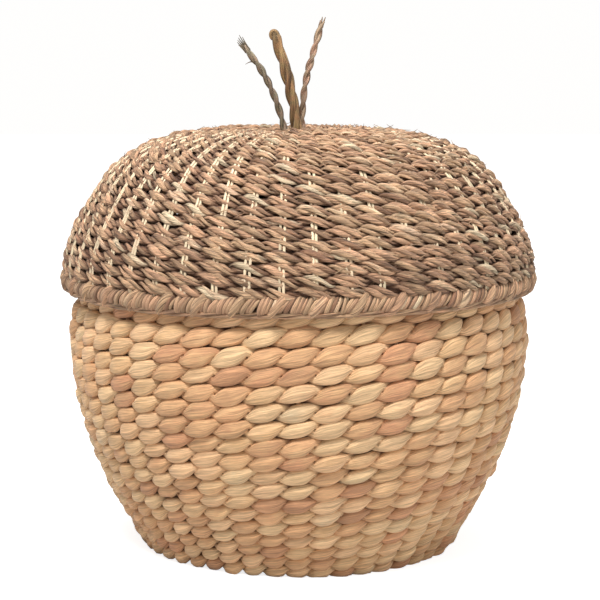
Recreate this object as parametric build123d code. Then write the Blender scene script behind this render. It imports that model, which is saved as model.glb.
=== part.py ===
from build123d import *
import math
import os

os.makedirs("parts", exist_ok=True)

# A round storage basket with a domed lid. Millimetres, +Z up, origin on the floor under the middle.
# Both halves are twined: two strands cross between upright ribs, one turn of them is a course,
# and the courses are stacked on the ribs. Each course is one closed ring of rounded section here,
# and the stakes and ribs run through the rings, because the soft strands are squeezed round them.

# ---------------------------------------------------------------- basket
WALL_THICKNESS = 15.0
FOOT_RADIUS, FOOT_HEIGHT = 117.3, -2.6  # the lowest course is cut flat where it stands
LOWER_RADIUS, LOWER_HEIGHT = 143.0, 42.0
BELLY_START_RADIUS, BELLY_START_HEIGHT = 160.5, 81.0
BELLY_RADIUS, BELLY_HEIGHT = 174.3, 143.0
SHOULDER_RADIUS, SHOULDER_HEIGHT = 170.7, 189.5
NECK_RADIUS, NECK_HEIGHT = 165.0, 203.5
NECK_TOP_RADIUS, NECK_TOP_HEIGHT = 157.3, 226.0
WALL_COURSES = 20  # the top two stand inside the lid
LOWEST_COURSE, HIGHEST_COURSE = 9.9, 13.0  # course heights before they are fitted to the wall
BORDER_THICKNESS, BORDER_HEIGHT = 16.0, 10.0
STAKE_COUNT = 46
STAKE_RADIUS = 1.5

# ---------------------------------------------------------------- base
BASE_THICKNESS = 9.6
BASE_MIDDLE = BASE_THICKNESS / 2
BASE_CENTRE_RADIUS = 32.0
BASE_COURSES = 6
BASE_OUTER_RADIUS = 105.5
STAKE_START_RADIUS = 35.0

# ---------------------------------------------------------------- lid
LID_THICKNESS = 9.5
RIM_RADIUS, RIM_HEIGHT = 174.6, 194.8
EAVE_RADIUS, EAVE_HEIGHT = 179.3, 216.0
FLANK_RADIUS, FLANK_HEIGHT = 165.0, 255.0
LID_SHOULDER_RADIUS, LID_SHOULDER_HEIGHT = 137.0, 293.0
CROWN_EDGE_RADIUS, CROWN_EDGE_HEIGHT = 101.0, 310.5
CROWN_RADIUS, CROWN_HEIGHT = 52.0, 316.2
DIMPLE_RADIUS, DIMPLE_HEIGHT = 17.0, 312.5
LID_COURSES = 26
RIM_ROLL_THICKNESS, RIM_ROLL_HEIGHT = 11.5, 8.0
BAND_THICKNESS, BAND_HEIGHT = 9.6, 4.0
RIB_PAIRS = 48
RIB_WIDTH, RIB_DEPTH, RIB_SPACING = 2.1, 1.2, 0.3
LONG_PAIR_START, SHORT_PAIR_START = 24.0, 50.0
LONG_PAIR_TURN = 0.25  # every second pair is a long one

# ---------------------------------------------------------------- stalk on the lid
CENTRE_RADIUS, CENTRE_TOP, CENTRE_BOTTOM = 16.5, 309.0, 300.0
KNOT_RADIUS, KNOT_HEIGHT = 12.0, 15.0
STALK_DIAMETER, FOLDED_STALK_DIAMETER = 5.3, 8.4
LEFT_ROUTE = [
    (-9.0, 2.0, 306.0),
    (-12.2, 2.0, 323.0),
    (-20.5, 1.0, 345.5),
    (-31.0, -0.5, 365.0),
    (-45.4, -2.0, 381.7),
]
MIDDLE_ROUTE = [
    (-0.4, -3.5, 306.0),
    (-2.0, -3.5, 324.0),
    (-6.8, -3.2, 348.5),
    (-13.0, -2.6, 371.0),
    (-20.3, -2.0, 391.3),
]
RIGHT_ROUTE = [
    (2.4, 4.5, 306.0),
    (2.3, 4.5, 326.0),
    (5.0, 4.2, 350.0),
    (11.6, 3.8, 374.5),
    (19.1, 3.5, 398.4),
]

# ---------------------------------------------------------------- fits
COURSE_GAP = 0.5  # between one course and the next
COURSE_ROUNDING = 0.34  # corner radius as a share of a section's thickness
FULL_TURN = 360.0


def outline(points):
    """A smooth line through (radius, height) points, in the XZ plane."""
    return Spline([Vector(radius, 0, height) for radius, height in points])


def middle_line(outer, thickness):
    """The line half a wall inside an outer outline."""
    stations = 16
    points = []
    for k in range(stations + 1):
        along = outer % (k / stations)
        inward = Vector(-along.Z, 0, along.X)
        points.append(outer @ (k / stations) + inward * (thickness / 2))
    return Spline(points)


def divide(line, weights):
    """Points that cut a line into lengths in proportion to the weights."""
    total = sum(weights)
    points = [line @ 0]
    done = 0.0
    for weight in weights:
        done += weight
        points.append(line @ (done / total))
    return points


def slope(start, end):
    """The angle in degrees of the line from start to end, above the radius."""
    return math.degrees(math.atan2(end.Z - start.Z, end.X - start.X))


def ring(start, end, thickness, most_rounding=0.49):
    """A ring of rounded section, which runs from start to end and is as thick as given. The corners' radius is at
    most the given share of the ring's length."""
    length = (end - start).length - COURSE_GAP
    middle = (start + end) / 2
    rounding = min(COURSE_ROUNDING * thickness, most_rounding * length)
    section = Rot(0, 0, slope(start, end)) * RectangleRounded(length, thickness, rounding)
    return revolve(Plane.XZ * Pos(middle.X, middle.Z) * section, Axis.Z, FULL_TURN)


def around(solid, count, turns=0.5):
    """Copies of a solid, evenly spaced about Z, the first one turned by a share of their spacing."""
    return [Rot(0, 0, FULL_TURN * (k + turns) / count) * solid for k in range(count)]


def above_floor(solid):
    """The part of a solid above Z = 0, which leaves it a flat foot."""
    span = 2 * (BELLY_RADIUS + WALL_THICKNESS)
    return solid & Pos(0, 0, span / 2) * Box(span, span, span)


def save(solids, name):
    """Writes one sub-part, which may be several separate solids."""
    shape = Compound(children=solids) if isinstance(solids, list) else solids
    shape.label = name
    export_step(shape, f"parts/{name}.step")


# ---------------------------------------------------------------- the lines that everything follows
wall_outline = outline(
    [
        (FOOT_RADIUS, FOOT_HEIGHT),
        (LOWER_RADIUS, LOWER_HEIGHT),
        (BELLY_START_RADIUS, BELLY_START_HEIGHT),
        (BELLY_RADIUS, BELLY_HEIGHT),
        (SHOULDER_RADIUS, SHOULDER_HEIGHT),
        (NECK_RADIUS, NECK_HEIGHT),
        (NECK_TOP_RADIUS, NECK_TOP_HEIGHT),
    ]
)
wall_line = middle_line(wall_outline, WALL_THICKNESS)
course_step = (HIGHEST_COURSE - LOWEST_COURSE) / (WALL_COURSES - 1)
wall_points = divide(wall_line, [LOWEST_COURSE + course_step * k for k in range(WALL_COURSES)])
border_rise = (wall_points[-1] - wall_points[-2]).normalized() * BORDER_HEIGHT
border_top = wall_points[-1] + border_rise

lid_outline = outline(
    [
        (RIM_RADIUS, RIM_HEIGHT),
        (EAVE_RADIUS, EAVE_HEIGHT),
        (FLANK_RADIUS, FLANK_HEIGHT),
        (LID_SHOULDER_RADIUS, LID_SHOULDER_HEIGHT),
        (CROWN_EDGE_RADIUS, CROWN_EDGE_HEIGHT),
        (CROWN_RADIUS, CROWN_HEIGHT),
        (DIMPLE_RADIUS, DIMPLE_HEIGHT),
    ]
)
lid_line = middle_line(lid_outline, LID_THICKNESS)
course_height = (lid_line.length - BAND_HEIGHT - RIM_ROLL_HEIGHT) / LID_COURSES
lid_points = divide(lid_line, [BAND_HEIGHT, RIM_ROLL_HEIGHT] + [course_height] * LID_COURSES)
print(f"wall line {wall_line.length:.1f} mm, lid line {lid_line.length:.1f} mm")
print(f"lid course {course_height:.2f} mm")


# ---------------------------------------------------------------- basket
def stake_path():
    """Out along the base, up the wall and into the border, in straight steps of one course."""
    first, second = wall_points[0], wall_points[1]
    turn = first + (second - first) * ((BASE_MIDDLE - first.Z) / (second.Z - first.Z))
    start = Vector(STAKE_START_RADIUS, 0, BASE_MIDDLE)
    end = wall_points[-1] + border_rise / 2
    return Polyline([start, turn] + wall_points[1:] + [end])


def stake():
    path = stake_path()
    start = Plane(origin=path @ 0, z_dir=path % 0)
    return sweep(start * Circle(STAKE_RADIUS), path=path, transition=Transition.ROUND)


def wall_course(index):
    course = ring(wall_points[index], wall_points[index + 1], WALL_THICKNESS)
    return above_floor(course) if index == 0 else course


def basket_border():
    """The turned-over top edge, with the stakes' ends inside it."""
    return ring(wall_points[-1], border_top, BORDER_THICKNESS)


def base_course(index):
    step = (BASE_OUTER_RADIUS - BASE_CENTRE_RADIUS) / BASE_COURSES
    inner = BASE_CENTRE_RADIUS + step * index
    return ring(Vector(inner, 0, BASE_MIDDLE), Vector(inner + step, 0, BASE_MIDDLE), BASE_THICKNESS)


def base_centre():
    """The round start of the base, flat underneath and rounded at the edge."""
    disc = Pos(0, 0, BASE_MIDDLE) * Cylinder(BASE_CENTRE_RADIUS - COURSE_GAP, BASE_THICKNESS)
    return fillet(disc.edges().filter_by(GeomType.CIRCLE).group_by(Axis.Z)[-1], 3.0)


# ---------------------------------------------------------------- lid
def rib(side, start_radius):
    """One flat rib of a pair, from inside the rim up over the dome to a radius near the middle."""
    points = [point for point in lid_points[1:] if point.X > start_radius]
    path = Polyline(points)
    offset = side * (RIB_WIDTH + RIB_SPACING) / 2
    along = points[1] - points[0]
    start = Plane(origin=points[0] + Vector(0, offset, 0), x_dir=(0, 1, 0), z_dir=along)
    return sweep(start * Rectangle(RIB_WIDTH, RIB_DEPTH), path=path, transition=Transition.RIGHT)


def lid_course(index):
    return ring(lid_points[index + 2], lid_points[index + 3], LID_THICKNESS)


def lid_rim():
    return ring(lid_points[1], lid_points[2], RIM_ROLL_THICKNESS)


def lid_rim_band():
    return ring(lid_points[0], lid_points[1], BAND_THICKNESS, 0.42)


def lid_ribs():
    """Half of the pairs reach the middle, and the other half, between them, start further out."""
    half = RIB_PAIRS // 2
    ribs = []
    for side in (-1, 1):
        ribs += around(rib(side, LONG_PAIR_START), half, LONG_PAIR_TURN)
        ribs += around(rib(side, SHORT_PAIR_START), half, LONG_PAIR_TURN + 0.5)
    return ribs


def lid_centre():
    """The woven button in the dimple that the stalks come up through."""
    disc = Pos(0, 0, (CENTRE_TOP + CENTRE_BOTTOM) / 2) * Cylinder(CENTRE_RADIUS, CENTRE_TOP - CENTRE_BOTTOM)
    return fillet(disc.edges().filter_by(GeomType.CIRCLE), 3.0)


def stalk_knot():
    """The knot under the middle of the lid that stops the stalks pulling out."""
    ball = Pos(0, 0, CENTRE_BOTTOM - KNOT_HEIGHT / 2) * Cylinder(KNOT_RADIUS, KNOT_HEIGHT)
    return fillet(ball.edges().filter_by(GeomType.CIRCLE), 6.0)


def stalk(name, route, diameter):
    """A round stalk on straight runs joined by the largest arcs that the runs allow."""
    points = [Vector(*point) for point in route]
    runs = [b - a for a, b in zip(points, points[1:])]
    radii = []
    for before, after in zip(runs, runs[1:]):
        half_turn = math.radians(before.get_angle(after)) / 2
        radii.append(0.45 * min(before.length, after.length) / math.tan(half_turn))
    path = FilletPolyline(*points, radius=radii)
    tube = sweep(Plane(origin=path @ 0, z_dir=path % 0) * Circle(diameter / 2), path=path)
    expected = math.pi * diameter**2 / 4 * path.length
    print(f"{name}: length {path.length:.1f} mm, radii {[round(r) for r in radii]} mm")
    print(f"{name}: volume over section times length {tube.volume / expected:.4f}")
    return tube


# ---------------------------------------------------------------- write every sub-part
save(around(stake(), STAKE_COUNT), "wall_stakes")
for number in range(WALL_COURSES):
    save(wall_course(number), f"wall_course_{number + 1:02d}")
save(basket_border(), "basket_border")
save(base_centre(), "base_centre")
save([base_course(number) for number in range(BASE_COURSES)], "base_courses")
save(lid_rim_band(), "lid_rim_band")
save(lid_rim(), "lid_rim")
for number in range(LID_COURSES):
    save(lid_course(number), f"lid_course_{number + 1:02d}")
save(lid_ribs(), "lid_ribs")
save(lid_centre(), "lid_centre")
save(stalk_knot(), "stalk_knot")
save(stalk("stalk_left", LEFT_ROUTE, STALK_DIAMETER), "stalk_left")
save(stalk("stalk_middle", MIDDLE_ROUTE, FOLDED_STALK_DIAMETER), "stalk_middle")
save(stalk("stalk_right", RIGHT_ROUTE, STALK_DIAMETER), "stalk_right")
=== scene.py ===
import math

import bpy
import numpy as np
from bpy.props import FloatProperty, FloatVectorProperty, IntProperty, PointerProperty
from bpy.types import Operator, Panel, PropertyGroup
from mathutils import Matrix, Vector


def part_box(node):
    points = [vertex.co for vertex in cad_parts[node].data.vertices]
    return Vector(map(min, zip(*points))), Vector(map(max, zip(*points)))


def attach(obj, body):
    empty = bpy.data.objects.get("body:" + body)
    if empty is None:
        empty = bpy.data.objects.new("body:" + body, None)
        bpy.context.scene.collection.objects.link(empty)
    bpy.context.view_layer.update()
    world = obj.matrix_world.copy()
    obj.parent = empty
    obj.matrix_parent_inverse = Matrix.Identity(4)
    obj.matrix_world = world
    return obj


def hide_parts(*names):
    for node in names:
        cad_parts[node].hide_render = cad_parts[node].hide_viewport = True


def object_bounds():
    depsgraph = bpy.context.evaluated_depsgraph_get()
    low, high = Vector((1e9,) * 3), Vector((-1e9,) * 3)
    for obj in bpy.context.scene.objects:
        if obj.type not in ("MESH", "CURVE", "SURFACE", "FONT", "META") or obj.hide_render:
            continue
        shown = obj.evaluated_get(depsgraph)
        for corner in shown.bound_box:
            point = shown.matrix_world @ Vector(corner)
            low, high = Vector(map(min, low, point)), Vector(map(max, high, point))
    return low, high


bl_info = {
    "name": "Twined Basket with Domed Lid",
    "version": (1, 0, 0),
    "blender": (4, 5, 0),
    "location": "3D View > Sidebar > Basket",
    "description": "Draws the weave, rolled rim and twisted stalks of a lidded basket over its frame",
    "category": "Object",
}

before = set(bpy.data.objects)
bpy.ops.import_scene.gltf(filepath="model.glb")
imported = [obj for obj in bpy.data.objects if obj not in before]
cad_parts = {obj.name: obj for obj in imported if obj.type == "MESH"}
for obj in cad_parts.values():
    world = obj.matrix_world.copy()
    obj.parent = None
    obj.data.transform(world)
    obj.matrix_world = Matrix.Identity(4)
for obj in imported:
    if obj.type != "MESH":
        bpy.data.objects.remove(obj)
cad_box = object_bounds()

MM = 0.001
TURN = 2 * math.pi
WALL_NODES = sorted(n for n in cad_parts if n.startswith("wall_course_"))
LID_NODES = sorted(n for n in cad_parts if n.startswith("lid_course_"))

# Corner radius of a course's section, as a share of its thickness.
SECTION_ROUNDING = 0.34
# How squarely a strand turns from outside the stakes to inside them.
DIVE = 1.1
# What differs between the strands of the wall and of the lid. depth is half a strand's depth as a share of
# the thickness, and crossing how much of that it has at a crossing. spread is how late a strand narrows
# towards a crossing, rise which way it slants, stray how much of the unevenness it takes, wave where the slow
# waves start, sag and bulge how high and deep they are, and sizes how much the segments differ in size.
WALL_STRAND = {
    "depth": 0.29,
    "spread": 1.35,
    "rise": 1,
    "stray": 0.7,
    "wave": 0.0,
    "sag": 1.6 * MM,
    "bulge": 1.2 * MM,
    "sizes": 0.06,
    "crossing": 1.12,
}
LID_STRAND = {
    "depth": 0.27,
    "spread": 1.4,
    "rise": -1,
    "stray": 0.8,
    "wave": 2.0,
    "sag": 1.5 * MM,
    "bulge": 1.0 * MM,
    "sizes": 0.1,
    "crossing": 1.1,
}

# How far the loose ends of a stalk reach past its twist.
STALK_TIPS = {"left": 6.5 * MM, "middle": 4.0 * MM, "right": 2.5 * MM}
STALK_SLOTS = {"left": "stalk_grey", "middle": "stalk_gold", "right": "stalk_pink"}
# Loose wisps at a stalk's tip: how far each leans across the stalk, and its length in millimetres.
WISPS = {
    "left": [(-0.75, 6.0), (-0.45, 8.5), (-0.15, 7.5), (0.12, 6.5), (0.4, 5.5), (0.62, 3.5)],
    "right": [(-0.3, 3.4), (0.28, 3.0)],
}
WISP_WIDTHS = {"left": 0.85 * MM, "right": 1.15 * MM}

SEEDS = {
    "left": 11,
    "middle": 12,
    "right": 13,
    "border": 61,
    "base": 71,
    "ribs": 81,
    "roll": 91,
    "band": 92,
    "centre": 93,
    "frays": 95,
    "wall": 100,
    "lid": 300,
}

LEFT_ROUTE = [
    (-0.0090, 0.0020, 0.3060),
    (-0.0122, 0.0020, 0.3230),
    (-0.0205, 0.0010, 0.3455),
    (-0.0310, -0.0005, 0.3650),
    (-0.0454, -0.0020, 0.3817),
]
MIDDLE_ROUTE = [
    (-0.0004, -0.0035, 0.3060),
    (-0.0020, -0.0035, 0.3240),
    (-0.0068, -0.0032, 0.3485),
    (-0.0130, -0.0026, 0.3710),
    (-0.0203, -0.0020, 0.3913),
]
RIGHT_ROUTE = [
    (0.0024, 0.0045, 0.3060),
    (0.0023, 0.0045, 0.3260),
    (0.0050, 0.0042, 0.3500),
    (0.0116, 0.0038, 0.3745),
    (0.0191, 0.0035, 0.3984),
]


# ---------------------------------------------------------------- settings
def length_setting(name, default, text):
    """A size in metres."""
    return FloatProperty(
        name=name, description=text, default=default, min=0.0, unit="LENGTH", subtype="DISTANCE"
    )


def share_setting(name, default, text):
    """A share of another size."""
    return FloatProperty(name=name, description=text, default=default, min=0.0, max=2.0, subtype="FACTOR")


def count_setting(name, default, text):
    """A whole number of pieces."""
    return IntProperty(name=name, description=text, default=default, min=2)


def colour_setting(name, red, green, blue, text):
    """A colour given in everyday screen values from 0 to 255, kept as the linear values a shader takes."""
    linear = [((c / 255 + 0.055) / 1.055) ** 2.4 for c in (red, green, blue)]
    return FloatVectorProperty(name=name, description=text, default=linear, subtype="COLOR", min=0.0, max=1.0)


class WallSettings(PropertyGroup):
    """The twined water-hyacinth wall of the basket."""

    stakes: count_setting("Stakes", 46, "Upright stakes that the two strands cross between")
    thickness: length_setting("Wall thickness", 15 * MM, "Through both strands and the stake between them")
    plumpness: share_setting("Plumpness", 0.54, "Half height of a strand over a stake, in course heights")
    pinch: share_setting("Pinch", 0.27, "Half height of a strand where the two cross, in course heights")
    slant: share_setting("Slant", 0.18, "Rise of a strand as it slips past the other one, in course heights")
    lean: share_setting("Lean", 0.09, "Rise of a strand between two crossings, in course heights")
    unevenness: length_setting("Unevenness", 0.8 * MM, "How far one segment strays from its place")
    border: length_setting("Border thickness", 16 * MM, "Of the turned-over top edge")
    base_courses: count_setting("Base courses", 6, "Rings of weave in the base")
    inner_stakes: count_setting("Inner base stakes", 22, "Stakes that carry on to the middle of the base")
    base_split: length_setting("Base split", 60 * MM, "Radius inside which the base has half as many stakes")


class LidSettings(PropertyGroup):
    """The finer twined seagrass of the lid."""

    ribs: count_setting("Rib pairs", 48, "Pairs of thin ribs that the two strands cross between")
    inner_ribs: count_setting("Inner rib pairs", 24, "Pairs that carry on to the middle of the dome")
    inner_radius: length_setting("Inner radius", 50 * MM, "Radius inside which only the long pairs are left")
    thickness: length_setting("Lid thickness", 9.5 * MM, "Through both strands and the ribs between them")
    blades: count_setting("Blades", 3, "Blades of grass laid together in one strand")
    blade_twist: share_setting("Blade twist", 0.5, "Turns of the blades from one pair of ribs to the next")
    plumpness: share_setting("Plumpness", 0.57, "Half height of a strand over a rib, in course heights")
    pinch: share_setting("Pinch", 0.31, "Half height of a strand where the two cross, in course heights")
    slant: share_setting("Slant", 0.13, "Fall of a strand as it slips past the other one, in course heights")
    lean: share_setting("Lean", 0.15, "Fall of a strand between two crossings, in course heights")
    rib_stand: length_setting("Rib stand", 2.3 * MM, "How far the ribs lie outside the middle of the lid")
    rim_roll: length_setting("Rim roll", 11.5 * MM, "Thickness of the rolled rim")
    rim_band: length_setting("Rim band", 9.6 * MM, "Thickness of the band below the roll")
    wraps: count_setting("Rim wraps", 7, "Wraps round the rim roll for each pair of ribs")
    wrap_width: length_setting("Wrap width", 3.5 * MM, "Width of one wrap of the rim roll")
    frays: count_setting("Frays", 260, "Loose fibres that stand off the lid")
    unevenness: length_setting("Unevenness", 0.65 * MM, "How far one segment strays from its place")


class StalkSettings(PropertyGroup):
    """The three twisted stalks on the lid."""

    thin: length_setting("Thin stalk", 5.3 * MM, "Diameter of the two-ply stalks")
    folded: length_setting("Folded stalk", 8.4 * MM, "Diameter of the stalk that is doubled over")
    twist: length_setting("Twist", 23 * MM, "Length of one full turn of a thin stalk's plies")
    folded_twist: length_setting("Folded twist", 52 * MM, "Length of one turn of the folded stalk's plies")


class FinishSettings(PropertyGroup):
    """Colours of the dried plants, and of the painted shade in the gaps of the weave."""

    hyacinth_cream: colour_setting("Hyacinth cream", 240, 198, 152, "Palest hyacinth segments")
    hyacinth_tan: colour_setting("Hyacinth tan", 229, 181, 133, "The usual hyacinth colour")
    hyacinth_rust: colour_setting("Hyacinth rust", 214, 158, 117, "Pinkish brown segments")
    hyacinth_grey: colour_setting("Hyacinth grey", 226, 203, 163, "Greenish grey segments")
    grass_straw: colour_setting("Seagrass straw", 250, 220, 186, "Palest seagrass blades")
    grass_brown: colour_setting("Seagrass brown", 216, 172, 136, "The usual seagrass colour")
    grass_dark: colour_setting("Seagrass dark", 160, 118, 90, "Darkest seagrass blades")
    rib_pale: colour_setting("Rib", 236, 214, 180, "The pale ribs inside the lid")
    # The recess colour is painted shade: it darkens the gaps deep in the weave, where shade falls.
    recess_shade: colour_setting("Recess", 92, 54, 30, "Dust and shade in the gaps of the weave")


class StageSettings(PropertyGroup):
    """Camera and light."""

    distance: length_setting("Camera distance", 1375 * MM, "From the basket's axis to the camera")
    height: length_setting("Camera height", 364 * MM, "Of the camera above the floor")
    tilt: FloatProperty(
        name="Camera tilt", description="Downwards", default=math.radians(7.44), subtype="ANGLE"
    )
    focal: FloatProperty(name="Focal length", description="In millimetres on a 36 mm sensor", default=108.8)


# ---------------------------------------------------------------- grids of points made into a mesh
def unit(vectors):
    """The same directions, with a length of one."""
    return vectors / np.linalg.norm(vectors, axis=-1, keepdims=True)


def cross_axes(tangent, axis):
    """Two directions square to each tangent and to each other. The first is square to the given axis too."""
    first = unit(np.cross(tangent, axis))
    return first, np.cross(tangent, first)


def grid_faces(rows, columns, wrap_rows):
    """Quads between neighbouring points of a grid. The columns always close on themselves, the rows if
    asked."""
    last = rows if wrap_rows else rows - 1
    i, j = np.meshgrid(np.arange(last), np.arange(columns), indexing="ij")
    i2, j2 = (i + 1) % rows, (j + 1) % columns
    quads = np.stack([i * columns + j, i2 * columns + j, i2 * columns + j2, i * columns + j2], -1)
    uv_rows = np.stack([i, i + 1, i + 1, i], -1)
    uv_columns = np.stack([j, j, j + 1, j + 1], -1)
    return quads.reshape(-1, 4), uv_rows.reshape(-1, 4), uv_columns.reshape(-1, 4)


def volume(points, quads):
    """Six times the volume inside closed quads, negative where they face inwards."""
    a, b, c, d = (points[quads[:, k]] for k in range(4))
    return np.einsum("ij,ij->", a, np.cross(b, c)) + np.einsum("ij,ij->", a, np.cross(c, d))


def tube_faces(tube):
    """A tube's faces, turned to look outwards: for each size of face, the corners and their UVs. An open tube
    has one face over each end."""
    rows, columns = tube["grid"].shape[:2]
    quads, r, c = grid_faces(rows, columns, tube["closed"])
    groups = [(quads, r, c)]
    if not tube["closed"]:
        ring = np.arange(columns)
        ends = np.stack([ring[::-1], ring + (rows - 1) * columns])
        groups.append((ends, ends // columns, ends % columns))
    if volume(tube["grid"].reshape(-1, 3), quads) < 0:
        groups = [(f[:, ::-1], r[:, ::-1], c[:, ::-1]) for f, r, c in groups]
    along = tube["along"]
    return [
        (faces, np.stack([along[r], tube["round"] * c / columns + tube["skew"] * along[r]], -1))
        for faces, r, c in groups
    ]


def weave_mesh(name, tubes, material):
    """One object from several tubes, with a UV map in metres along and round each strand, and each point's
    tone and how exposed it is."""
    points, corners, sizes, uvs, tones, shades = [], [], [], [], [], []
    offset = 0
    for tube in tubes:
        rows, columns = tube["grid"].shape[:2]
        for faces, uv in tube_faces(tube):
            corners.append(faces.ravel() + offset)
            sizes.append(np.full(len(faces), faces.shape[1]))
            uvs.append(uv.reshape(-1, 2))
        points.append(tube["grid"].reshape(-1, 3))
        tones.append(np.broadcast_to(tube["tone"], (rows, columns)).ravel())
        shades.append(np.broadcast_to(tube["exposed"], (rows, columns)).ravel())
        offset += rows * columns
    points, corners, sizes = np.concatenate(points), np.concatenate(corners), np.concatenate(sizes)
    mesh = bpy.data.meshes.new(name)
    mesh.vertices.add(len(points))
    mesh.vertices.foreach_set("co", points.astype(np.float32).ravel())
    mesh.loops.add(len(corners))
    mesh.loops.foreach_set("vertex_index", corners.astype(np.int32))
    mesh.polygons.add(len(sizes))
    mesh.polygons.foreach_set("loop_start", (np.cumsum(sizes) - sizes).astype(np.int32))
    mesh.polygons.foreach_set("use_smooth", np.ones(len(sizes), bool))
    mesh.update(calc_edges=True)
    strand_map = mesh.uv_layers.new(name="strand")
    strand_map.data.foreach_set("uv", np.concatenate(uvs).astype(np.float32).ravel())
    for label, values in (("tone", tones), ("exposed", shades)):
        layer = mesh.attributes.new(label, "FLOAT", "POINT")
        layer.data.foreach_set("value", np.concatenate(values).astype(np.float32))
    mesh.validate()
    mesh.materials.append(material)
    piece = bpy.data.objects.new(name, mesh)
    bpy.context.scene.collection.objects.link(piece)
    return piece


def finished_piece(name, tubes, material, body, slot, *nodes):
    """A piece that rides on a body, takes the given material, and stands for the CAD nodes that are
    named. Its slot is not used."""
    piece = weave_mesh(name, tubes, material)
    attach(piece, body)
    if nodes:
        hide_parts(*nodes)
    return piece


# ---------------------------------------------------------------- tubes
def make_tube(grid, along, round_length, tone, exposed=1.0, closed=False, skew=0.0):
    """A tube is a grid of points, a row for each place along it and a column for each place round it, with
    its lengths along and round in metres, a tone from 0 to 1, how exposed each point is, and how far its
    pattern slips round it for each metre along."""
    return {
        "grid": grid,
        "along": along,
        "round": round_length,
        "tone": tone,
        "exposed": exposed,
        "closed": closed,
        "skew": skew,
    }


def ring_tube(grid, radius, round_length, tone, exposed, rng, skew=0.0):
    """A tube that closes on itself round a ring of the given radius. Its pattern starts at a random place."""
    along = np.arange(len(grid) + 1) * TURN * radius / len(grid) + rng.random()
    return make_tube(grid, along, round_length, tone, exposed, True, skew)


def with_shrunk_ends(grid):
    """The grid with one more ring at each end, in the end ring's plane and half its size, which rounds the
    cap."""
    start, end = grid[:1].mean(1, keepdims=True), grid[-1:].mean(1, keepdims=True)
    return np.concatenate([(start + grid[:1]) / 2, grid, (end + grid[-1:]) / 2])


def section(count, squareness):
    """Points round a closed section from -1 to 1 both ways: a circle at squareness 1, flatter sided above
    it."""
    angle = np.arange(count) / count * TURN
    x, y = np.cos(angle), np.sin(angle)
    return np.sign(x) * np.abs(x) ** (1 / squareness), np.sign(y) * np.abs(y) ** (1 / squareness)


def open_tube(points, half_a, half_b, axis, tone, sides=7, squareness=1.0, round_length=12 * MM):
    """A tube along a line of points: its section's first axis is square to the line and to a given direction,
    its second square to both."""
    first, second = cross_axes(unit(np.gradient(points, axis=0)), axis)
    x, y = section(sides, squareness)
    half_a = np.broadcast_to(half_a, len(points))[:, None]
    half_b = np.broadcast_to(half_b, len(points))[:, None]
    grid = (
        points[:, None, :]
        + (half_a * x)[..., None] * first[:, None, :]
        + (half_b * y)[..., None] * second[:, None, :]
    )
    steps = np.linalg.norm(np.diff(points, axis=0), axis=1)
    along = np.concatenate([[0, 0], np.cumsum(steps), [steps.sum()], [steps.sum()]])
    tone = np.broadcast_to(tone, len(points))
    tone = np.concatenate([tone[:1], tone, tone[-1:]])[:, None]
    return make_tube(with_shrunk_ends(grid), along, round_length, tone)


def knob(radius, low, height, rng):
    """A puckered button: a half wave from the bottom to the top, with seven shallow folds that run over
    it."""
    level = np.linspace(-np.pi / 2, np.pi / 2, 15)[1:-1]
    turn = np.arange(28) / 28 * TURN
    fold = 1 + 0.05 * np.sin(7 * turn + 2.5 * level[:, None])
    r = radius * np.cos(level)[:, None] ** 0.6 * fold
    z = low + height / 2 * (1 + np.sin(level))[:, None] + 0 * turn
    grid = with_shrunk_ends(np.stack([r * np.cos(turn), r * np.sin(turn), z], -1))
    return make_tube(grid, np.linspace(0, 3 * radius, len(grid)), TURN * radius, rng.random())


def smooth_line(route):
    """Points along the smooth curve that has the route's points as its control points."""
    curve = bpy.data.curves.new("stalk_line", "CURVE")
    curve.dimensions = "3D"
    curve.resolution_u = 24
    spline = curve.splines.new("NURBS")
    spline.points.add(len(route) - 1)
    for point, place_of in zip(spline.points, route):
        point.co = (*place_of, 1)
    spline.order_u = 3
    spline.use_endpoint_u = True
    holder = bpy.data.objects.new("stalk_line", curve)
    mesh = bpy.data.meshes.new_from_object(holder)
    line = np.empty(len(mesh.vertices) * 3, np.float32)
    mesh.vertices.foreach_get("co", line)
    bpy.data.objects.remove(holder)
    bpy.data.meshes.remove(mesh)
    bpy.data.curves.remove(curve)
    return line.reshape(-1, 3).astype(float)


# ---------------------------------------------------------------- where the courses are
def course_line(names, thickness):
    """Each course's centre as radius and height, its slope, and its own height along the wall. A course's box
    gives its outer radius and its top. Its centre lies inside them by the reach of its rounded section, which
    depends on its slope, so centres and slopes are worked out in turn until they settle."""
    corners = [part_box(name)[1] for name in names]
    outer = np.array([corner.x for corner in corners])
    top = np.array([corner.z for corner in corners])
    rounding = SECTION_ROUNDING * thickness
    flat = thickness / 2 - rounding
    radius, height = outer - thickness / 2, top - thickness / 2
    for _ in range(12):
        slope = np.arctan2(np.gradient(height), np.gradient(radius))
        pitch = np.hypot(np.gradient(radius), np.gradient(height))
        long = np.maximum(pitch / 2 - rounding, 0)
        corner = np.minimum(rounding, pitch / 2)
        radius = outer - (long * np.abs(np.cos(slope)) + flat * np.abs(np.sin(slope)) + corner)
        height = top - (long * np.abs(np.sin(slope)) + flat * np.abs(np.cos(slope)) + corner)
    return radius, height, slope, pitch


def place(radius, height, slope, turn_angle, out, up):
    """Points of a course: out is measured square to the wall, up along it, at an angle round the axis."""
    r = radius + out * np.sin(slope) + up * np.cos(slope)
    z = height - out * np.cos(slope) + up * np.sin(slope)
    return np.stack([r * np.cos(turn_angle), r * np.sin(turn_angle), z], -1)


def between(values, where):
    """Values given at whole numbers, eased from each one to the next, and round to the first again."""
    low = np.floor(where).astype(int)
    ease = (1 - np.cos(np.pi * (where - low))) / 2
    count = len(values)
    return values[low % count] * (1 - ease) + values[(low + 1) % count] * ease


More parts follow.
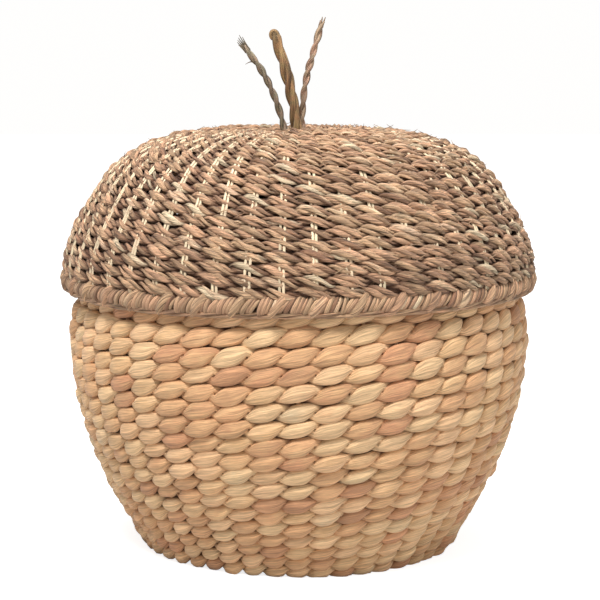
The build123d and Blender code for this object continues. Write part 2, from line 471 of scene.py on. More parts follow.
def settle(angle, height, amount):
    """How far hand work sags and bulges: a few slow waves round the basket that drift with height."""
    h = height / 0.1
    return amount * (
        0.55 * np.sin(2 * angle + 1.3 * h + 0.4)
        + 0.35 * np.sin(3 * angle - 1.9 * h + 2.1)
        + 0.25 * np.sin(5 * angle + 2.7 * h + 4.0)
    )


def keep_above_floor(tubes):
    """Flattens whatever would lie below the floor."""
    for tube in tubes:
        tube["grid"][..., 2] = np.maximum(tube["grid"][..., 2], 0.0)


# ---------------------------------------------------------------- twining
def strand_path(where, strand, settings, pitch, depth, spread):
    """A strand of a twined pair. It passes outside the even ribs and inside the odd ones, and the other
    strand is one rib behind it. It leans all the way between two crossings, and at a crossing it slips aside
    so that the two strands share the course's height. Gives how far out and up the strand is, and how full: 1
    over a rib, less where it is squeezed."""
    phase = np.pi * (where + strand)
    c, s = np.cos(phase), np.sin(phase)
    out = depth * np.tanh(DIVE * c) / math.tanh(DIVE)
    full = 1 - np.maximum(1 - np.abs(c), 0) ** spread
    up = pitch * (settings.slant * (1 - full) * np.sign(s) + settings.lean * s)
    return out, up, full


def strand_line(course, thickness, settings, strand, rng, segments, kind):
    """A strand's line round its course. A course is its radius, height, slope, own height, number of ribs,
    and where its first rib is. Each segment strays a little in height, depth and size. Gives, for each point,
    where it is, counted in ribs, its angle, how far out and up it is, and the strand's half height and half
    depth there."""
    _, height, _, pitch, ribs, offset = course
    where = np.arange(ribs * segments) / segments
    angle = TURN * (where + offset) / ribs
    half_depth = kind["depth"] * thickness
    reach = thickness / 2 - half_depth
    out, up, full = strand_path(where, strand, settings, pitch, reach, kind["spread"])
    stray, wave = kind["stray"] * settings.unevenness, angle + kind["wave"]
    up = kind["rise"] * up + between(rng.normal(0, stray, ribs), where) + settle(wave, height, kind["sag"])
    out = out + between(rng.normal(0, stray, ribs), where) + settle(wave + 1.0, height, kind["bulge"])
    size = between(rng.normal(1, kind["sizes"], ribs), where)
    tall = pitch * (settings.pinch + (settings.plumpness - settings.pinch) * full) * size
    deep = half_depth * (kind["crossing"] - 0.12 * full) * size
    return where, angle, out, up, tall, deep


def segment_tones(where, strand, ribs, rng, spread):
    """A tone for each segment that a strand shows outside. It changes over to the next one while the strand
    is hidden inside, where where + strand is odd."""
    tones = np.clip(rng.normal(0.5, spread, ribs // 2), 0, 1)
    pair = (where + strand) / 2
    low = np.floor(pair).astype(int)
    share = np.clip((pair - low - 0.5) / 0.24 + 0.5, 0, 1)
    share = share * share * (3 - 2 * share)
    return tones[low % len(tones)] * (1 - share) + tones[(low + 1) % len(tones)] * share


def wall_strand(course, thickness, settings, strand, rng, segments, sides):
    """One plump strand: an oval section with shallow creases carried along the strand's line, tallest over a
    stake and squeezed to half of the course where the two strands cross."""
    radius, height, slope, pitch, stakes, _ = course
    where, angle, out, up, tall, deep = strand_line(
        course, thickness, settings, strand, rng, segments, WALL_STRAND
    )
    x, y = section(sides, 1.32)
    turn = np.arange(sides) / sides * TURN
    slow = between(rng.normal(0, 1.6, stakes), where + 0.3)[:, None]
    crease = 1 + 0.05 * np.sin(4 * turn + slow) + 0.04 * np.sin(6 * turn - 1.7 * slow + strand)
    out, deep = out[:, None], deep[:, None]
    rise = up[:, None] + tall[:, None] * y * (0.5 + 0.5 * crease)
    grid = place(radius, height, slope, angle[:, None], out + deep * x * crease, rise)
    tone = segment_tones(where, strand, stakes, rng, 0.17)[:, None]
    # How exposed each point is, from how far it lies from the middle of the wall: the finish paints shade
    # where it is low.
    exposed = np.minimum(np.abs(out + deep * x) / (thickness / 2), 1)
    return ring_tube(grid, radius, 2.6 * pitch, tone, exposed, rng)


def lid_strand(course, thickness, settings, strand, rng, segments, sides):
    """One loosely twisted strand of blades: each blade is a round section on a slow helix round the strand's
    line, and the whole strand is tallest over a pair of ribs and narrow where the two strands cross."""
    radius, height, slope, pitch, ribs, _ = course
    where, angle, out, up, tall, deep = strand_line(
        course, thickness, settings, strand, rng, segments, LID_STRAND
    )
    x, y = section(sides, 1.0)
    start = rng.random() * TURN
    turns = round(settings.blade_twist * ribs)
    tubes = []
    for blade in range(settings.blades):
        own = np.clip(0.5 + 0.09 * between(rng.normal(0, 1, ribs), where + 0.5), 0.36, 0.7)
        twist = start + TURN * (blade / settings.blades - turns * where / ribs)
        twist = twist + between(rng.normal(0, 0.35, ribs), where)
        middle_out = out + deep * (1 - own) * np.cos(twist)
        middle_up = up + tall * (1 - own) * np.sin(twist)
        reach = middle_out[:, None] + (deep * own)[:, None] * x
        rise = middle_up[:, None] + (tall * own)[:, None] * y
        grid = place(radius, height, slope, angle[:, None], reach, rise)
        tone = segment_tones(where, strand, ribs, rng, 0.26)[:, None]
        # How exposed each point is, from how far it lies from the middle of the lid: the finish paints shade
        # where it is low.
        exposed = np.minimum(np.abs(reach) / (thickness / 2), 1)
        tubes.append(ring_tube(grid, radius, 1.6 * pitch, tone, exposed, rng, -0.3))
    return tubes


def roll_strand(ring, count, segments, start, half, share, rng, lay=1.0):
    """One strand of a rope laid round a ring, given as radius, height and slope: it winds lay times round the
    rope's oval section over each of count parts of the ring, and its own section is a share of the rope's."""
    radius, height, slope = ring
    half_deep, half_tall = half
    where = np.arange(count * segments) / segments
    angle = TURN * (where + 0.5) / count
    twist = TURN * (start + round(count * lay) * where / count)
    own = share * (1 + 0.06 * between(rng.normal(0, 1, count), where))
    out = half_deep * (1 - own) * np.cos(twist)
    up = half_tall * (1 - own) * np.sin(twist) + settle(angle, height, 0.8 * MM)
    x, y = section(9, 1.1)
    reach = out[:, None] + (half_deep * own)[:, None] * x
    grid = place(radius, height, slope, angle[:, None], reach, up[:, None] + (half_tall * own)[:, None] * y)
    tone = np.clip(0.5 + 0.22 * between(rng.normal(0, 1, count), where), 0, 1)[:, None]
    # How exposed each point is, from how far it lies from the rope's middle: the finish paints shade where it
    # is low.
    exposed = np.clip(0.35 + 0.65 * np.hypot(reach / half_deep, up[:, None] / half_tall), 0, 1)
    return ring_tube(grid, radius, TURN * share * half_tall, tone, exposed, rng)


# ---------------------------------------------------------------- shader helpers
def node_group(name, inputs, outputs):
    """An empty shader group with named sockets, and its input and output nodes."""
    group = bpy.data.node_groups.new(name, "ShaderNodeTree")
    for label, kind, default in inputs:
        socket = group.interface.new_socket(name=label, in_out="INPUT", socket_type=kind)
        socket.default_value = default
    for label, kind in outputs:
        group.interface.new_socket(name=label, in_out="OUTPUT", socket_type=kind)
    return group, group.nodes.new("NodeGroupInput"), group.nodes.new("NodeGroupOutput")


def add(tree, kind, **values):
    """A node with its properties set."""
    node = tree.nodes.new(kind)
    for key, value in values.items():
        setattr(node, key, value)
    return node


def feed(tree, socket, value):
    """Links a socket to another one, or sets it to a number or a colour."""
    if hasattr(value, "links"):
        tree.links.new(value, socket)
    elif isinstance(value, (int, float)):
        socket.default_value = value
    else:
        socket.default_value = (*value[:3], 1)


def math_node(tree, operation, *values, clamp=False):
    """The result of a Math node whose inputs are sockets or numbers."""
    node = add(tree, "ShaderNodeMath", operation=operation, use_clamp=clamp)
    for socket, value in zip(node.inputs, values):
        feed(tree, socket, value)
    return node.outputs[0]


def map_range(tree, value, start, end, **properties):
    """A value carried from the range between the two ends in start to the one between those in end."""
    node = add(tree, "ShaderNodeMapRange", **properties)
    feed(tree, node.inputs["Value"], value)
    for label, limits in (("From", start), ("To", end)):
        feed(tree, node.inputs[f"{label} Min"], limits[0])
        feed(tree, node.inputs[f"{label} Max"], limits[1])
    return node.outputs["Result"]


def mix_colours(tree, share, first, second, blend="MIX"):
    """A colour between two others. Each is a socket or a colour, and share is a socket or a number."""
    node = add(tree, "ShaderNodeMix", data_type="RGBA", blend_type=blend)
    for socket, value in ((node.inputs["Factor"], share), (node.inputs[6], first), (node.inputs[7], second)):
        feed(tree, socket, value)
    return node.outputs[2]


def tone_ramp(tree, value, stops):
    """Colours by tone: a ramp through (position, colour) stops."""
    ramp = add(tree, "ShaderNodeValToRGB")
    points = ramp.color_ramp.elements
    points[0].position, points[0].color = stops[0][0], (*stops[0][1][:3], 1)
    points[1].position, points[1].color = stops[-1][0], (*stops[-1][1][:3], 1)
    for position, colour in stops[1:-1]:
        points.new(position).color = (*colour[:3], 1)
    tree.links.new(value, ramp.inputs["Fac"])
    return ramp.outputs["Color"]


def stretched_noise(tree, vector, along, across, detail, seed):
    """Noise in streaks: coordinates along the strand are shrunk and those round it enlarged before the
    noise."""
    mapping = add(tree, "ShaderNodeMapping")
    mapping.inputs["Scale"].default_value = (along, across, 1)
    mapping.inputs["Location"].default_value = (seed, seed * 0.7, seed)
    tree.links.new(vector, mapping.inputs["Vector"])
    noise = add(tree, "ShaderNodeTexNoise", noise_dimensions="3D")
    noise.inputs["Scale"].default_value = 1.0
    noise.inputs["Detail"].default_value = detail
    noise.inputs["Roughness"].default_value = 0.6
    tree.links.new(mapping.outputs["Vector"], noise.inputs["Vector"])
    return noise.outputs["Fac"]


def new_material(name):
    """A material, its node tree and its shader."""
    material = bpy.data.materials.new(name)
    material.use_nodes = True
    return material, material.node_tree, material.node_tree.nodes["Principled BSDF"]


def add_bump(tree, shader, height, strength, distance):
    """Raises the surface by a height."""
    bump = add(tree, "ShaderNodeBump")
    bump.inputs["Strength"].default_value = strength
    bump.inputs["Distance"].default_value = distance
    tree.links.new(height, bump.inputs["Height"])
    tree.links.new(bump.outputs["Normal"], shader.inputs["Normal"])


def scaled(colour, factor):
    """The same colour, lighter or darker."""
    return [min(1.0, c * factor) for c in colour[:3]]


# ---------------------------------------------------------------- finishes
def fibre_group():
    """Lengthwise fibres of a dried stem: fine streaks, broader pleats, and blotches, on the strand's own UV
    map."""
    group, enter, leave = node_group(
        "Plant Fibres",
        [("Vector", "NodeSocketVector", (0, 0, 0)), ("Coarseness", "NodeSocketFloat", 1.0)],
        [("Streaks", "NodeSocketFloat"), ("Pleats", "NodeSocketFloat"), ("Blotches", "NodeSocketFloat")],
    )
    enlarged = add(group, "ShaderNodeVectorMath", operation="SCALE")
    group.links.new(enter.outputs["Vector"], enlarged.inputs[0])
    group.links.new(enter.outputs["Coarseness"], enlarged.inputs["Scale"])
    for label, along, across, detail, seed in (
        ("Streaks", 55, 1500, 4, 3.1),
        ("Pleats", 26, 420, 3, 11.7),
        ("Blotches", 60, 90, 3, 27.3),
    ):
        noise = stretched_noise(group, enlarged.outputs[0], along, across, detail, seed)
        group.links.new(noise, leave.inputs[label])
    return group


def painted_shade_group():
    """Painted shade deep in a weave: a mask from how exposed the surface is, broken up by
    noise."""
    group, enter, leave = node_group(
        "Painted Weave Shade",
        [
            ("Exposed", "NodeSocketFloat", 1.0),
            ("Breakup", "NodeSocketFloat", 0.5),
            ("From", "NodeSocketFloat", 0.35),
            ("To", "NodeSocketFloat", 0.8),
        ],
        [("Mask", "NodeSocketFloat")],
    )
    wobble = math_node(group, "MULTIPLY_ADD", enter.outputs["Breakup"], 0.25, -0.125)
    level = math_node(group, "ADD", enter.outputs["Exposed"], wobble)
    limits = (enter.outputs["From"], enter.outputs["To"])
    mask = map_range(group, level, limits, (1.0, 0.0), interpolation_type="SMOOTHSTEP")
    group.links.new(mask, leave.inputs["Mask"])
    return group


def shared_group(name, maker):
    """A shader group that is built once."""
    return bpy.data.node_groups.get(name) or maker()


def plant_finish(name, stops, coarseness, recess_shade, shaded, depth, roughness, darkest=0.72, tint_strength=0.35):
    """A dried plant strand: colour by the segment's tone, lengthwise fibres that lighten and darken it,
    partly as grain and partly as painted highlight and painted shade, painted shade in the recesses,
    and a bump of fibres and pleats. shaded is how exposed the surface is where the painted shade is full
    and where it ends, depth is the bump's, and darkest is the shade of the darkest fibres."""
    found = bpy.data.materials.get(name)
    if found:
        return found
    material, tree, shader = new_material(name)
    uv = add(tree, "ShaderNodeUVMap", uv_map="strand")
    tone = add(tree, "ShaderNodeAttribute", attribute_name="tone").outputs["Fac"]
    exposed = add(tree, "ShaderNodeAttribute", attribute_name="exposed").outputs["Fac"]
    fibres = add(tree, "ShaderNodeGroup", node_tree=shared_group("Plant Fibres", fibre_group))
    fibres.inputs["Coarseness"].default_value = coarseness
    tree.links.new(uv.outputs["UV"], fibres.inputs["Vector"])
    streaks, pleats, blotches = (fibres.outputs[label] for label in ("Streaks", "Pleats", "Blotches"))

    shift = math_node(tree, "MULTIPLY_ADD", blotches, 0.5, -0.25)
    colour = tone_ramp(tree, math_node(tree, "ADD", tone, shift, clamp=True), stops)
    drift = math_node(tree, "MULTIPLY", blotches, 5.0)
    wave = math_node(tree, "SINE", math_node(tree, "MULTIPLY_ADD", tone, 37.0, drift))
    share = math_node(tree, "MULTIPLY_ADD", wave, 0.5, 0.5)
    tint = mix_colours(tree, share, (1.07, 0.965, 0.92), (0.95, 1.02, 0.93))
    colour = mix_colours(tree, tint_strength, colour, tint, "MULTIPLY")

    # Fibre grain, partly painted light: the streaks lighten the colour past its own as painted highlight and
    # darken it as painted shade, and the pleats darken it where the bump is low, as painted shade in the
    # grooves.
    streak_grain_and_highlight = map_range(tree, streaks, (0.35, 0.65), (darkest, 1.4 - 0.4 * darkest))
    pleat_grain_and_shade = map_range(tree, pleats, (0.3, 0.62), (darkest + 0.05, 1.06))
    shade = math_node(tree, "MULTIPLY", streak_grain_and_highlight, pleat_grain_and_shade)
    grey = add(tree, "ShaderNodeCombineColor")
    for socket in grey.inputs:
        tree.links.new(shade, socket)
    colour = mix_colours(tree, 1.0, colour, grey.outputs["Color"], "MULTIPLY")

    # Painted shade: the surface darkens towards the recess colour where it lies deep inside the weave.
    painted_shade = add(tree, "ShaderNodeGroup", node_tree=shared_group("Painted Weave Shade", painted_shade_group))
    painted_shade.inputs["From"].default_value, painted_shade.inputs["To"].default_value = shaded
    tree.links.new(exposed, painted_shade.inputs["Exposed"])
    tree.links.new(pleats, painted_shade.inputs["Breakup"])
    colour = mix_colours(tree, painted_shade.outputs["Mask"], colour, recess_shade)
    tree.links.new(colour, shader.inputs["Base Color"])

    add_bump(tree, shader, math_node(tree, "MULTIPLY_ADD", pleats, 1.6, streaks), 0.8, depth)
    gloss = map_range(tree, blotches, (0.0, 1.0), (roughness - 0.12, roughness + 0.14))
    tree.links.new(gloss, shader.inputs["Roughness"])
    shader.inputs["Specular IOR Level"].default_value = 0.32
    shader.inputs["Sheen Weight"].default_value = 0.08
    shader.inputs["Sheen Roughness"].default_value = 0.6
    return material


def hyacinth():
    """The basket's smooth pale stems."""
    f = bpy.context.scene.basket_finish
    stops = [
        (0.0, scaled(f.hyacinth_rust, 0.84)),
        (0.2, f.hyacinth_rust),
        (0.42, f.hyacinth_tan),
        (0.62, f.hyacinth_cream),
        (0.82, scaled(f.hyacinth_cream, 1.05)),
        (1.0, f.hyacinth_grey),
    ]
    return plant_finish("Dry hyacinth stem", stops, 1.0, f.recess_shade, (0.0, 0.5), 1.1 * MM, 0.62, 0.66)


def seagrass():
    """The lid's rough brown blades."""
    f = bpy.context.scene.basket_finish
    stops = [
        (0.0, f.grass_dark),
        (0.25, scaled(f.grass_brown, 0.86)),
        (0.5, f.grass_brown),
        (0.75, scaled(f.grass_brown, 1.25)),
        (1.0, f.grass_straw),
    ]
    # The lid's painted shade in its recesses is darker still.
    recess_shade = scaled(f.recess_shade, 0.8)
    return plant_finish("Dry seagrass", stops, 1.5, recess_shade, (0.0, 0.7), 0.9 * MM, 0.66, 0.3, 0.6)


def pale_rib():
    """The ribs' smooth split palm."""
    f = bpy.context.scene.basket_finish
    stops = [(0.0, scaled(f.rib_pale, 0.75)), (0.5, f.rib_pale), (1.0, scaled(f.rib_pale, 1.1))]
    return plant_finish("Pale palm rib", stops, 2.4, f.recess_shade, (-1.0, -0.5), 0.15 * MM, 0.5)


def stalk_finish(name, dark, light):
    """The twisted grass of one stalk."""
    stops = [(0.0, dark), (0.5, scaled(light, 0.75)), (1.0, light)]
    return plant_finish(name, stops, 1.6, dark, (-1.0, -0.5), 0.7 * MM, 0.6, 0.35, 1.0)


def cane_finish():
    """Split cane: grain from noise on Object coordinates."""
    f = bpy.context.scene.basket_finish
    material, tree, shader = new_material("Split cane")
    where = add(tree, "ShaderNodeTexCoord")
    grain = stretched_noise(tree, where.outputs["Object"], 900, 900, 4, 5.0)
    colour = tone_ramp(tree, grain, [(0.3, scaled(f.grass_brown, 0.7)), (0.7, f.hyacinth_tan)])
    tree.links.new(colour, shader.inputs["Base Color"])
    add_bump(tree, shader, grain, 0.5, 0.2 * MM)
    shader.inputs["Roughness"].default_value = 0.6
    return material


# ---------------------------------------------------------------- operators
class BASKET_OT_stage(Operator):
    """Floor, light and camera"""

    bl_idname = "basket.stage"
    bl_label = "Stage"

    def execute(self, context):
        scene = context.scene
        settings = scene.basket_stage
        scene.view_settings.view_transform = "Standard"
        camera = bpy.data.objects.new("camera", bpy.data.cameras.new("camera"))
        camera.data.sensor_width = 36
        camera.data.lens = settings.focal
        camera.location = (1.15 * MM, -settings.distance, settings.height)
        camera.rotation_euler = (math.pi / 2 - settings.tilt, 0, 0)
        camera.data.clip_start, camera.data.clip_end = 0.05, 50
        scene.collection.objects.link(camera)
        scene.camera = camera
        self.floor(scene)
        self.light(scene, "key", (-0.45, -1.6, 3.0), size=0.8, power=112.0)
        self.light(scene, "fill", (1.9, -1.8, 1.2), size=1.6, power=11.0)
        self.light(scene, "top", (0.0, 0.4, 2.6), size=1.4, power=27.0)
        self.sky(scene)
        return {"FINISHED"}

    def floor(self, scene):
        """A flat pale sheet. What the camera sees of it directly also glows a little, so it comes out
        white."""
        half, cells = 8.0, 8
        ticks = np.linspace(-half, half, cells + 1)
        x, y = np.meshgrid(ticks, ticks, indexing="ij")
        points = np.stack([x, y, np.zeros_like(x)], -1).reshape(-1, 3)
        i, j = np.meshgrid(np.arange(cells), np.arange(cells), indexing="ij")
        row = cells + 1
        corner = (i * row + j).ravel()
        quads = np.stack([corner, corner + row, corner + row + 1, corner + 1], -1)
        mesh = bpy.data.meshes.new("floor")
        mesh.from_pydata(points.tolist(), [], quads.tolist())
        material, tree, shader = new_material("Pale floor")
        shader.inputs["Base Color"].default_value = (0.62, 0.62, 0.615, 1)
        shader.inputs["Roughness"].default_value = 0.95
        shader.inputs["Specular IOR Level"].default_value = 0.0
        shader.inputs["Emission Color"].default_value = (1, 1, 1, 1)
        ray = add(tree, "ShaderNodeLightPath")
        glow = math_node(tree, "MULTIPLY", ray.outputs["Is Camera Ray"], 0.8)
        tree.links.new(glow, shader.inputs["Emission Strength"])
        mesh.materials.append(material)
        floor = bpy.data.objects.new("floor", mesh)
        scene.collection.objects.link(floor)

    def light(self, scene, name, location, size, power):
        """A square soft light aimed at the middle of the basket."""
        lamp = bpy.data.lights.new(name, "AREA")
        lamp.shape, lamp.size, lamp.energy = "SQUARE", size, power
        light = bpy.data.objects.new(name, lamp)
        aim = (cad_box[0] + cad_box[1]) / 2 - Vector(location)
        light.location = location
        light.rotation_euler = aim.to_track_quat("-Z", "Y").to_euler()
        scene.collection.objects.link(light)

    def sky(self, scene):
        """Even pale surroundings, seen as white behind the object."""
        world = bpy.data.worlds.new("Soft room")
        world.use_nodes = True
        tree = world.node_tree
        tree.nodes.clear()
        ray = add(tree, "ShaderNodeLightPath")
        strength = map_range(tree, ray.outputs["Is Camera Ray"], (0.0, 1.0), (0.46, 1.0))
        background = add(tree, "ShaderNodeBackground")
        output = add(tree, "ShaderNodeOutputWorld")
        background.inputs["Color"].default_value = (1.0, 0.995, 0.985, 1)
        tree.links.new(strength, background.inputs["Strength"])
        tree.links.new(background.outputs["Background"], output.inputs["Surface"])
        scene.world = world


class BASKET_OT_stalks(Operator):
    """The three stalks of twisted grass that stand on the lid"""

    bl_idname = "basket.stalks"
    bl_label = "Stalks"

    def execute(self, context):
        settings = context.scene.basket_stalk
        grey = stalk_finish("Grey seagrass twist", (0.07, 0.05, 0.03), (0.40, 0.31, 0.22))
        gold = stalk_finish("Golden seagrass twist", (0.12, 0.05, 0.018), (0.50, 0.30, 0.14))
        pink = stalk_finish("Pale seagrass twist", (0.15, 0.075, 0.04), (0.62, 0.41, 0.29))
        self.stalk("left", LEFT_ROUTE, settings.thin, settings.twist, 2, grey)
        self.stalk("middle", MIDDLE_ROUTE, settings.folded, settings.folded_twist, 3, gold)
        self.stalk("right", RIGHT_ROUTE, settings.thin, settings.twist, 2, pink)
        return {"FINISHED"}

    def stalk(self, side, route, diameter, twist, plies, material):
        """One stalk: its plies as far as its loose ends, and the loose ends."""
        rng = np.random.default_rng(SEEDS[side])
        line = smooth_line(route)
        steps = np.linalg.norm(np.diff(line, axis=0), axis=1)
        distance = np.concatenate([[0], np.cumsum(steps)])
        wound = distance < distance[-1] - STALK_TIPS[side]
        slot = STALK_SLOTS[side]
        twisted = self.plies(line[wound], distance[wound], diameter, twist, plies, rng)
        piece = finished_piece(f"stalk_{side}_twist", twisted, material, "lid", slot, f"stalk_{side}")
        if side == "middle":
            ends = self.folded_end(line[wound])
        else:
            ends = self.wisps(side, line[wound], diameter, rng)
        frays = finished_piece(f"stalk_{side}_tip", ends, material, "lid", slot)

    def plies(self, line, distance, diameter, twist, count, rng):
        """Plies wound round the line: ply k is at angle TURN (s / twist + k / count), s being the distance
        along. Its thickness drifts, and it thins over the last few millimetres."""
        first, second = cross_axes(unit(np.gradient(line, axis=0)), (0, 1, 0))
        share = 0.31 if count == 2 else 0.27
        tubes = []
        for ply in range(count):
            turn = TURN * (distance / twist + ply / count)
            turn = turn + 0.35 * np.sin(distance / (9 * MM) + rng.random() * TURN)
            drift = 1 + 0.1 * np.sin(distance / (6 * MM) + rng.random() * TURN)
            out = (0.53 - share) * diameter * drift
            centre = line + out[:, None] * (np.cos(turn)[:, None] * first + np.sin(turn)[:, None] * second)
            end = np.clip((distance[-1] - distance) / (4 * MM), 0.3, 1) ** 0.5
            half = share * diameter * end * (1 + 0.08 * np.sin(distance / (4 * MM) + ply))
            tone = rng.normal(0.55, 0.12) + 0.25 * np.sin(distance / (11 * MM) + rng.random() * TURN)
            tone = np.clip(tone, 0, 1)
            around = TURN * share * diameter
            tubes.append(open_tube(centre, half, half * 0.92, (0, 1, 0.01), tone, 10, 1.05, around))
        return tubes

    def folded_end(self, line):
        """The loop where the twist is doubled over: an arc of an oval, a little more than its upper half."""
        along = unit(line[-1] - line[-4])
        across = unit(np.cross(along, (0, 1, 0)))
        bend = np.linspace(-0.25, 1.25, 13)[:, None] * np.pi
        centre = line[-1] - along * 1.6 * MM
        loop = centre + 2.3 * MM * np.cos(bend) * across + 3.0 * MM * np.sin(bend) * along
        return [open_tube(loop, 1.8 * MM, 1.9 * MM, (0, 1, 0), 0.7, 9, 1.1)]

    def wisps(self, side, line, diameter, rng):
        """Loose wisps past the tip. Each leans out in proportion to its length, its spread and t to the power
        1.6, t running from 0 to 1 along it. On the left one more stands out sideways below the tip."""
        end = line[-1]
        along = unit(line[-1] - line[-4])
        across = unit(np.cross(along, (0, 1, 0)))
        t = np.linspace(0, 1, 9)[:, None]
        root_depth = 5
        tubes = []
        for spread, length in WISPS[side]:
            root = end - along * root_depth * MM + across * spread * 0.45 * diameter
            curve = root + along * (length + root_depth) * MM * t
            curve = curve + across * spread * length * 0.42 * MM * t**1.6
            curve = curve + np.array((0, 1, 0)) * rng.normal(0, 0.6) * MM * t**2
            half = WISP_WIDTHS[side] * (1.05 - 0.8 * t[:, 0])
            tubes.append(open_tube(curve, half, 0.7 * half, (0, 1, 0), rng.random(), 6))
        if side == "left":
            k = int(len(line) * 0.84)
            aside = np.array((-1.0, 0.0, -0.12))
            curve = line[k] + aside * 8.5 * MM * t + np.array((0, 0, 1)) * 1.4 * MM * np.sin(np.pi * t)
            taper = 1.02 - 0.85 * t[:, 0]
            tubes.append(open_tube(curve, 0.75 * MM * taper, 0.5 * MM * taper, (0, 1, 0), 0.6, 6))
        return tubes


class BASKET_OT_wall(Operator):
    """The twined courses of the basket's wall, one piece for each course"""

    bl_idname = "basket.wall"
    bl_label = "Basket wall"

    def execute(self, context):
        settings = context.scene.basket_wall
        radius, height, slope, pitch = course_line(WALL_NODES, settings.thickness)
        for k, node in enumerate(WALL_NODES):
            rng = np.random.default_rng(SEEDS["wall"] + k)
            course = (radius[k], height[k], slope[k], pitch[k], settings.stakes, 0.5)
            strands = [wall_strand(course, settings.thickness, settings, s, rng, 12, 12) for s in (0, 1)]
            keep_above_floor(strands)
            name = f"wall_weave_{k + 1:02d}"
            finished_piece(name, strands, hyacinth(), "basket", "water_hyacinth", node)
        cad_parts["wall_stakes"].material_slots[0].material = cane_finish()
        return {"FINISHED"}


class BASKET_OT_border(Operator):
    """The thick turned-over edge of the basket, a rope of three plump strands that hides the stakes' ends"""

    bl_idname = "basket.border"
    bl_label = "Basket border"

    def execute(self, context):
        settings = context.scene.basket_wall
        low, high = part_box("basket_border")
        half_tall, half_deep = (high.z - low.z) / 2, 0.5 * settings.border
        rng = np.random.default_rng(SEEDS["border"])
        ring = (high.x - half_deep, low.z + half_tall, math.pi / 2)
        half = (half_deep, half_tall)
        strands = [roll_strand(ring, settings.stakes, 14, k / 3, half, 0.52, rng) for k in range(3)]
        finished_piece("border_rope", strands, hyacinth(), "basket", "water_hyacinth", "basket_border")
        return {"FINISHED"}


class BASKET_OT_base(Operator):
    """The twined base and its round start"""

    bl_idname = "basket.base"
    bl_label = "Basket base"

    def execute(self, context):
        settings = context.scene.basket_wall
        low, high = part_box("base_courses")
        thickness = high.z - low.z
        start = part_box("base_centre")[1].x
        rng = np.random.default_rng(SEEDS["base"])
        step = (high.x - start) / settings.base_courses
        rings = []
        for k in range(settings.base_courses):
            radius = start + step * (k + 0.5)
            rings.append((radius, settings.stakes if radius > settings.base_split else settings.inner_stakes))
        tubes = self.twined(rings, step, thickness, settings, rng, 10)
        keep_above_floor(tubes)
        finished_piece("base_weave", tubes, hyacinth(), "basket", "water_hyacinth", "base_courses")
        step = start / 2.6
        rings = [(start - step / 2, 12), (start - 1.5 * step, 6)]
        tubes = self.twined(rings, step, thickness, settings, rng, 16)
        tubes.append(knob(0.5 * start - 0.5 * step, 0.0, thickness, rng))
        keep_above_floor(tubes)
        finished_piece("base_start", tubes, hyacinth(), "basket", "water_hyacinth", "base_centre")
        return {"FINISHED"}

    def twined(self, rings, step, thickness, settings, rng, segments):
        """Flat courses, each given as a radius and a number of stakes."""
        tubes = []
        for radius, stakes in rings:
            course = (radius, thickness / 2, 0.0, step, stakes, 0.5)
            tubes += [wall_strand(course, thickness, settings, s, rng, segments, 10) for s in (0, 1)]
        return tubes


class BASKET_OT_lid(Operator):
    """The twined courses of the lid, one piece for each course"""

    bl_idname = "basket.lid"
    bl_label = "Lid courses"

    def execute(self, context):
        settings = context.scene.basket_lid
        radius, height, slope, pitch = course_line(LID_NODES, settings.thickness)
        for k, node in enumerate(LID_NODES):
            rng = np.random.default_rng(SEEDS["lid"] + k)
            outer = radius[k] > settings.inner_radius
            ribs, offset, segments = (settings.ribs, 0.5, 10) if outer else (settings.inner_ribs, 0.25, 14)
            course = (radius[k], height[k], slope[k], pitch[k], ribs, offset)
            tubes = []
            for strand in (0, 1):
                tubes += lid_strand(course, settings.thickness, settings, strand, rng, segments, 5)
            finished_piece(f"lid_weave_{k + 1:02d}", tubes, seagrass(), "lid", "seagrass", node)
        return {"FINISHED"}


class BASKET_OT_ribs(Operator):
    """The pairs of thin pale ribs inside the lid, which show between the strands"""

    bl_idname = "basket.ribs"
    bl_label = "Lid ribs"

    def execute(self, context):
        settings = context.scene.basket_lid
        radius, height, slope, _ = course_line(LID_NODES, settings.thickness)
        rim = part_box("lid_rim")
        first = [rim[1].x - 0.5 * settings.rim_roll, (rim[0].z + rim[1].z) / 2, slope[0]]
        line = np.vstack([first, np.stack([radius, height, slope], -1)])
        steps = np.concatenate([[0], np.cumsum(np.hypot(*np.diff(line[:, :2], axis=0).T))])
        rng = np.random.default_rng(SEEDS["ribs"])
        half_gap = 1.35 * MM
        tubes = []
        for k in range(settings.ribs):
            last = line[-1, 0] if k % 2 == 0 else settings.inner_radius
            reach = steps[np.argmax(line[:, 0] <= last)]
            s = np.linspace(0, reach, 34)
            r, z, a = (np.interp(s, steps, line[:, column]) for column in range(3))
            r, z = r + settings.rib_stand * np.sin(a), z - settings.rib_stand * np.cos(a)
            for side in (-half_gap, half_gap):
                shift = side + 0.35 * MM * np.sin(s / 0.03 + rng.random() * TURN)
                angle = TURN * (k + 0.5) / settings.ribs + shift / r
                points = np.stack([r * np.cos(angle), r * np.sin(angle), z], -1)
                round_axis = (-math.sin(angle[0]), math.cos(angle[0]), 0)
                rib = open_tube(points, 0.75 * MM, 1.05 * MM, round_axis, rng.random(), 6, 1.1, 6 * MM)
                tubes.append(rib)
        finished_piece("lid_rib_pairs", tubes, pale_rib(), "lid", "pale_rib", "lid_ribs")
        return {"FINISHED"}


